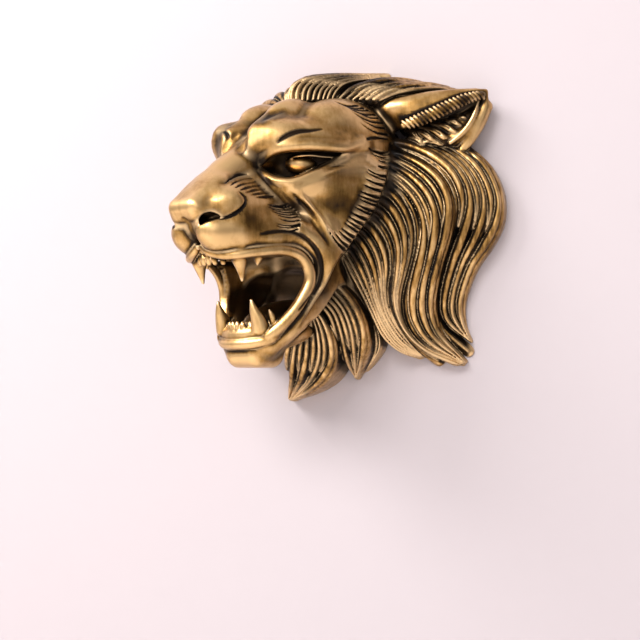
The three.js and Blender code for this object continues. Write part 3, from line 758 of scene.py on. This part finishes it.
def mesh_from(field, name, most):
    grid = vdb.FloatGrid(FAR)
    grid.copyFromArray(field.d)
    pts, tris, quads = grid.convertToPolygons(isovalue=0.0, adaptivity=0.0)
    pts = pts * field.h + field.lo
    me = bpy.data.meshes.new(name)
    faces = np.concatenate([quads[:, [0, 1, 2]], quads[:, [0, 2, 3]]]) if len(quads) else np.zeros((0, 3), int)
    if len(tris):
        faces = np.concatenate([faces, tris])
    # only the largest closed surface
    parent = np.arange(len(pts))
    for _ in range(200):
        low = parent.copy()
        for i, j in ((0, 1), (1, 2), (2, 0)):
            np.minimum.at(low, faces[:, i], parent[faces[:, j]])
            np.minimum.at(low, faces[:, j], parent[faces[:, i]])
        low = low[low]
        low = low[low]
        if (low == parent).all():
            break
        parent = low
    lab, count = np.unique(parent, return_counts=True)
    keep = parent == lab[count.argmax()]
    print("shells", len(lab), sorted(count.tolist())[-4:])
    faces = faces[keep[faces[:, 0]]]
    used = np.unique(faces)
    order = np.full(len(pts), -1)
    order[used] = np.arange(len(used))
    faces, pts = order[faces][:, ::-1], pts[used]
    me.vertices.add(len(pts))
    me.vertices.foreach_set("co", (pts * 0.001).astype(np.float32).ravel())
    me.loops.add(len(faces) * 3)
    me.loops.foreach_set("vertex_index", faces.astype(np.int32).ravel())
    me.polygons.add(len(faces))
    me.polygons.foreach_set("loop_start", np.arange(0, len(faces) * 3, 3, dtype=np.int32))
    me.update(calc_edges=True)
    me.validate()
    ob = bpy.data.objects.new(name, me)
    bpy.context.scene.collection.objects.link(ob)
    print("triangles", len(faces))
    if len(faces) > most:
        mod = ob.modifiers.new("fewer", "DECIMATE")
        mod.ratio = most / len(faces)
        dg = bpy.context.evaluated_depsgraph_get()
        new = bpy.data.meshes.new_from_object(ob.evaluated_get(dg))
        ob.modifiers.clear()
        ob.data = new
        bpy.data.meshes.remove(me)
        new.name = name
    ob.data.polygons.foreach_set("use_smooth", np.ones(len(ob.data.polygons), bool))
    print("kept", len(ob.data.polygons), round(time.time() - START, 1))
    return ob


mask = mesh_from(field, "lion_head_relief", 196000)


# ---------- hollows for the patina and painted shade, and worn heights, measured off the field ---
def normals(field, P, e=1.6):
    g = np.stack([field.sample(P + e * v) - field.sample(P - e * v) for v in np.eye(3)], 1)
    return g / (np.linalg.norm(g, axis=1, keepdims=True) + 1e-9)


# painted shade, with some patina, laid on (over 0), and painted highlight (under 0): place in the frame, radius in mm,
# amount
SHADE_AND_LIGHT_SPOTS = ((246, 216, 15, 0.16), (343, 204, 17, 0.11), (366, 196, 14, 0.05), (326, 254, 16, 0.14), (333, 274, 16, 0.14), (322, 292, 14, 0.08),
         (318, 86, 34, 0.10), (350, 82, 34, 0.11), (390, 88, 26, 0.07), (424, 119, 12, 0.26), (444, 109, 12, 0.26), (464, 100, 11, 0.24), (482, 94, 9, 0.16),
         (440, 134, 18, 0.05), (462, 128, 14, 0.05), (260, 160, 11, 0.14), (262, 170, 9, 0.10), (216, 142, 12, 0.12), (398, 148, 18, 0.14), (352, 262, 18, 0.10),
         (340, 300, 24, 0.08), (372, 300, 24, 0.06), (262, 226, 12, 0.08), (312, 183, 17, -0.19), (355, 160, 22, -0.18), (290, 141, 14, -0.06), (218, 234, 14, -0.05), (230, 174, 20, -0.14), (246, 221, 10, 0.07),
         (396, 152, 9, 0.24), (394, 168, 9, 0.26), (390, 185, 9, 0.26), (384, 200, 9, 0.26), (376, 215, 9, 0.24), (365, 232, 9, 0.24), (352, 250, 9, 0.22),
         (402, 132, 8, 0.16), (400, 118, 8, 0.14))


def shade_attributes(ob, field):
    me = ob.data
    co = np.empty(len(me.vertices) * 3, np.float32)
    me.vertices.foreach_get("co", co)
    P = co.reshape(-1, 3) * 1000.0
    N = normals(field, P)
    # how hollow each place is: the patina in the hollows, and painted shade that darkens them as light would
    hollow = np.zeros(len(P))
    total = 0
    for d, wgt in ((2.0, 1.0), (4.0, 0.8), (7.0, 0.6), (11.0, 0.4)):
        hollow += wgt * np.clip(1 - field.sample(P + N * d) / d, 0, 1.5)
        total += wgt
    hollow /= total
    ridge = np.zeros(len(P))
    for d in (2.0, 4.0):
        ridge += np.clip(1 + field.sample(P - N * d) / d, 0, 1)
    ridge /= 2
    # painted shade: deep cavities darken
    deep = np.mean([np.clip(1 - field.sample(P + N * d) / d, 0, 1) for d in (13.0, 19.0, 26.0)], axis=0)
    A = P @ HEAD.T                                   # painted shade in the mouth
    gape = np.sqrt((((A - (148, 0, -78)) / (92, 61, 43)) ** 2).sum(1))
    mouth_shade = np.clip((1.06 - gape) / 0.12, 0, 1)
    for p, q, r in (((230, 35, -34), (223, 34, -68), 16), ((190, 31, -116), (205, 29, -90), 16), ((209, 46, -32), (208, 44, -48), 11),
                    ((248, 0, -36), (248, 0, -46), 14), ((246, 16, -36), (246, 16, -46), 13), ((201, 0, -124), (203, 0, -112), 12), ((198, 15, -124), (200, 15, -112), 12)):
        for side in (1, -1):                         # the painted shade of the mouth, and part of the patina, are kept off the teeth
            p1, q1 = np.array(p, float) * (1, side, 1), np.array(q, float) * (1, side, 1)
            t = np.clip((A - p1) @ (q1 - p1) / ((q1 - p1) @ (q1 - p1)), 0, 1)
            shade_lift = np.clip(1.6 - 1.6 * np.linalg.norm(A - p1 - t[:, None] * (q1 - p1), axis=1) / r, 0, 1)
            hollow *= 1 - 0.45 * shade_lift
            deep *= 1 - 0.9 * shade_lift
            mouth_shade *= 1 - shade_lift
    for c in BALLS:                                  # the painted shade and the patina are kept off the balls in their sockets
        shade_lift = np.clip(1.35 - (np.linalg.norm((P - c) * (0.8, 0.8, 1.0), axis=1) / 15) ** 4, 0, 1)
        hollow *= 1 - 0.85 * shade_lift
        deep *= 1 - 0.85 * shade_lift
    # spots of painted shade and patina darken and dull the worn heights; spots under 0 are painted highlight
    for px, py, r, more in SHADE_AND_LIGHT_SPOTS:
        c = cast(field, px, py)
        if c is not None:
            g = np.exp(-((P - c) ** 2).sum(1) / r ** 2)
            hollow += more * g
            ridge *= 1 - min(0.9, max(0.0, 4.5 * more)) * g
    hair = np.clip(1.6 - np.abs(mane.sample(P)) / 1.2, 0, 1)
    # the patina and painted shade are stronger over the mane
    hollow = hollow * (1 + 0.6 * hair) + 0.065 * hair
    for name, v in (("hollow", hollow), ("ridge", ridge), ("deep", np.maximum(deep, mouth_shade)), ("hair", hair)):
        at = me.attributes.new(name, "FLOAT", "POINT")
        at.data.foreach_set("value", v.astype(np.float32))
    print("hollow", np.percentile(hollow, [5, 50, 95]), "ridge", np.percentile(ridge, [5, 50, 95]), "deep", np.percentile(deep, [5, 50, 95]))


shade_attributes(mask, field)
del mane


# ---------- antique brass ----------
def node(nt, kind, **values):
    n = nt.nodes.new(kind)
    for k, v in values.items():
        setattr(n, k, v)
    return n


def brass_material():
    mat = bpy.data.materials.new("antique_brass")
    mat.use_nodes = True
    nt = mat.node_tree
    b = nt.nodes["Principled BSDF"]
    b.inputs["Metallic"].default_value = 1.0
    b.inputs["Coat Weight"].default_value = 0.12
    b.inputs["Coat Roughness"].default_value = 0.3
    L = nt.links.new
    tex = node(nt, "ShaderNodeTexCoord")
    hollow = node(nt, "ShaderNodeAttribute", attribute_name="hollow")
    ridge = node(nt, "ShaderNodeAttribute", attribute_name="ridge")
    blot = node(nt, "ShaderNodeTexNoise")
    blot.inputs["Scale"].default_value = 18.0
    blot.inputs["Detail"].default_value = 6.0
    blot.inputs["Roughness"].default_value = 0.6
    L(tex.outputs["Object"], blot.inputs["Vector"])
    fine = node(nt, "ShaderNodeTexNoise")
    fine.inputs["Scale"].default_value = 160.0
    fine.inputs["Detail"].default_value = 5.0
    L(tex.outputs["Object"], fine.inputs["Vector"])
    # patina in the hollows, and painted shade there too: hollow, stirred by noise
    add = node(nt, "ShaderNodeMath", operation="MULTIPLY_ADD")
    L(blot.outputs["Fac"], add.inputs[0])
    add.inputs[1].default_value = 0.50
    # fine streaks that run with the hair
    hair = node(nt, "ShaderNodeAttribute", attribute_name="hair")
    run = node(nt, "ShaderNodeMapping")
    run.inputs["Scale"].default_value = (1.0, 1.0, 0.12)
    L(tex.outputs["Object"], run.inputs["Vector"])
    streak = node(nt, "ShaderNodeTexNoise")
    streak.inputs["Scale"].default_value = 230.0
    streak.inputs["Detail"].default_value = 3.0
    L(run.outputs["Vector"], streak.inputs["Vector"])
    lean = node(nt, "ShaderNodeMath", operation="SUBTRACT")
    L(streak.outputs["Fac"], lean.inputs[0])
    lean.inputs[1].default_value = 0.5
    part = node(nt, "ShaderNodeMath", operation="MULTIPLY_ADD")
    L(hair.outputs["Fac"], part.inputs[0])
    part.inputs[1].default_value = 0.24
    part.inputs[2].default_value = 0.10
    streaky = node(nt, "ShaderNodeMath", operation="MULTIPLY_ADD")
    L(lean.outputs[0], streaky.inputs[0])
    L(part.outputs[0], streaky.inputs[1])
    L(hollow.outputs["Fac"], streaky.inputs[2])
    less = node(nt, "ShaderNodeMath", operation="SUBTRACT")
    L(streaky.outputs[0], less.inputs[0])
    less.inputs[1].default_value = 0.07
    L(less.outputs[0], add.inputs[2])
    # from brass through patina brown to near black: patina and painted shade in the hollows
    ramp = node(nt, "ShaderNodeValToRGB")
    L(add.outputs[0], ramp.inputs["Fac"])
    e = ramp.color_ramp.elements
    e[0].position, e[0].color = 0.16, (0.60, 0.39, 0.175, 1)
    e[1].position, e[1].color = 0.70, (0.004, 0.003, 0.0025, 1)
    for pos, col in ((0.27, (0.34, 0.19, 0.058, 1)), (0.36, (0.11, 0.057, 0.013, 1)), (0.46, (0.026, 0.0145, 0.007, 1))):
        el = e.new(pos)
        el.color = col
    # rubbed heights
    worn = node(nt, "ShaderNodeMapRange")
    L(ridge.outputs["Fac"], worn.inputs["Value"])
    worn.inputs["From Min"].default_value, worn.inputs["From Max"].default_value = 0.12, 0.55
    worn.inputs["To Max"].default_value = 0.85
    mixc = node(nt, "ShaderNodeMix", data_type="RGBA")
    L(worn.outputs["Result"], mixc.inputs["Factor"])
    L(ramp.outputs["Color"], mixc.inputs["A"])
    mixc.inputs["B"].default_value = (0.74, 0.52, 0.28, 1)
    # painted shade: deep cavities, and the mouth most of all, go near black
    deep = node(nt, "ShaderNodeAttribute", attribute_name="deep")
    dark = node(nt, "ShaderNodeMapRange")
    L(deep.outputs["Fac"], dark.inputs["Value"])
    dark.inputs["From Min"].default_value, dark.inputs["From Max"].default_value = 0.42, 0.80
    dark.inputs["To Max"].default_value = 0.88
    mixd = node(nt, "ShaderNodeMix", data_type="RGBA")
    L(dark.outputs["Result"], mixd.inputs["Factor"])
    L(mixc.outputs["Result"], mixd.inputs["A"])
    mixd.inputs["B"].default_value = (0.035, 0.022, 0.013, 1)
    L(mixd.outputs["Result"], b.inputs["Base Color"])
    rough = node(nt, "ShaderNodeMapRange")
    L(add.outputs[0], rough.inputs["Value"])
    rough.inputs["From Min"].default_value, rough.inputs["From Max"].default_value = 0.2, 0.6
    rough.inputs["To Min"].default_value, rough.inputs["To Max"].default_value = 0.34, 0.6
    L(rough.outputs["Result"], b.inputs["Roughness"])
    bump = node(nt, "ShaderNodeBump")
    bump.inputs["Strength"].default_value = 0.12
    bump.inputs["Distance"].default_value = 0.001
    L(fine.outputs["Fac"], bump.inputs["Height"])
    L(bump.outputs["Normal"], b.inputs["Normal"])
    return mat


mask.data.materials.clear()
mask.data.materials.append(brass_material())
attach(mask, "root")
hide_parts("lion_head_mask")


# ---------- wall, floor, light, camera ----------
def pale(name, colour):
    """a plain pale face that shows from its front only"""
    mat = bpy.data.materials.new(name)
    mat.use_nodes = True
    nt = mat.node_tree
    b = nt.nodes["Principled BSDF"]
    b.inputs["Base Color"].default_value = (*colour, 1)
    b.inputs["Roughness"].default_value = 0.9
    clear = node(nt, "ShaderNodeBsdfTransparent")
    which = node(nt, "ShaderNodeMixShader")
    geo = node(nt, "ShaderNodeNewGeometry")
    nt.links.new(geo.outputs["Backfacing"], which.inputs[0])
    nt.links.new(b.outputs[0], which.inputs[1])
    nt.links.new(clear.outputs[0], which.inputs[2])
    nt.links.new(which.outputs[0], nt.nodes["Material Output"].inputs["Surface"])
    return mat


def sheet(name, corners, mat):
    me = bpy.data.meshes.new(name)
    me.from_pydata(corners, [], [(0, 1, 2, 3)])
    me.materials.append(mat)
    ob = bpy.data.objects.new(name, me)
    bpy.context.scene.collection.objects.link(ob)
    return ob


sheet("wall_behind", [(-3, 0.0008, -0.75), (3, 0.0008, -0.75), (3, 0.0008, 2.2), (-3, 0.0008, 2.2)], pale("wall_paint", (0.395, 0.358, 0.380)))
sheet("floor_below", [(-3, -5, -0.75), (3, -5, -0.75), (3, 3, -0.75), (-3, 3, -0.75)], pale("floor_paint", (0.80, 0.77, 0.75)))


def area(name, at, to, size, power, colour=(1, 1, 1)):
    d = bpy.data.lights.new(name, "AREA")
    d.shape, d.size, d.size_y = "RECTANGLE", size[0], size[1]
    d.energy, d.color = power, colour
    ob = bpy.data.objects.new(name, d)
    ob.location = at
    ob.rotation_mode = "QUATERNION"
    ob.rotation_quaternion = (Vector(to) - Vector(at)).to_track_quat("-Z", "Y")
    bpy.context.scene.collection.objects.link(ob)
    return ob


area("key_left", (-1.9, -1.5, 1.7), (0, 0, 0), (1.2, 1.2), 100, (1.0, 0.96, 0.93))
area("key_front", (-0.6, -2.6, 1.7), (0, 0, 0), (1.6, 0.9), 90, (1.0, 0.96, 0.93))
area("front_soft", (0.9, -2.3, 0.6), (0, 0, 0), (1.3, 1.3), 8, (1.0, 0.97, 0.94))
area("fill_right", (2.1, -1.2, 0.2), (0, 0, 0), (0.8, 1.6), 3, (0.97, 0.98, 1.0))

# the room: bright above and in front, dimmer low down, so the metal has something to show
world = bpy.data.worlds.new("room")
world.use_nodes = True
bpy.context.scene.world = world
wt = world.node_tree
back = wt.nodes["Background"]
wc = wt.nodes.new("ShaderNodeTexCoord")
lean = wt.nodes.new("ShaderNodeVectorMath")
lean.operation = "DOT_PRODUCT"
lean.inputs[1].default_value = (-0.40, -0.62, 0.66)
wt.links.new(wc.outputs["Generated"], lean.inputs[0])
half = wt.nodes.new("ShaderNodeMath")
half.operation = "MULTIPLY_ADD"
half.inputs[1].default_value, half.inputs[2].default_value = 0.5, 0.5
wt.links.new(lean.outputs["Value"], half.inputs[0])
wr = wt.nodes.new("ShaderNodeValToRGB")
wt.links.new(half.outputs[0], wr.inputs["Fac"])
we = wr.color_ramp.elements
we[0].position, we[0].color = 0.25, (0.012, 0.006, 0.002, 1)
we[1].position, we[1].color = 0.85, (1.0, 0.96, 0.95, 1)
mid = we.new(0.52)
mid.color = (0.07, 0.042, 0.025, 1)
wt.links.new(wr.outputs["Color"], back.inputs["Color"])
back.inputs["Strength"].default_value = 1.0

cam_data = bpy.data.cameras.new("camera")
cam_data.sensor_width = 36.0
cam_data.lens = LENS / 640 * 36.0
cam = bpy.data.objects.new("camera", cam_data)
bpy.context.scene.collection.objects.link(cam)
cam.matrix_world = Matrix([[RIGHT[0], UP[0], -FWD[0], EYE_POINT[0] / 1000],
                           [RIGHT[1], UP[1], -FWD[1], EYE_POINT[1] / 1000],
                           [RIGHT[2], UP[2], -FWD[2], EYE_POINT[2] / 1000],
                           [0, 0, 0, 1]])
bpy.context.scene.camera = cam
bpy.context.scene.view_settings.view_transform = "Standard"

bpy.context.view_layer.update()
print("done", round(time.time() - START, 1))
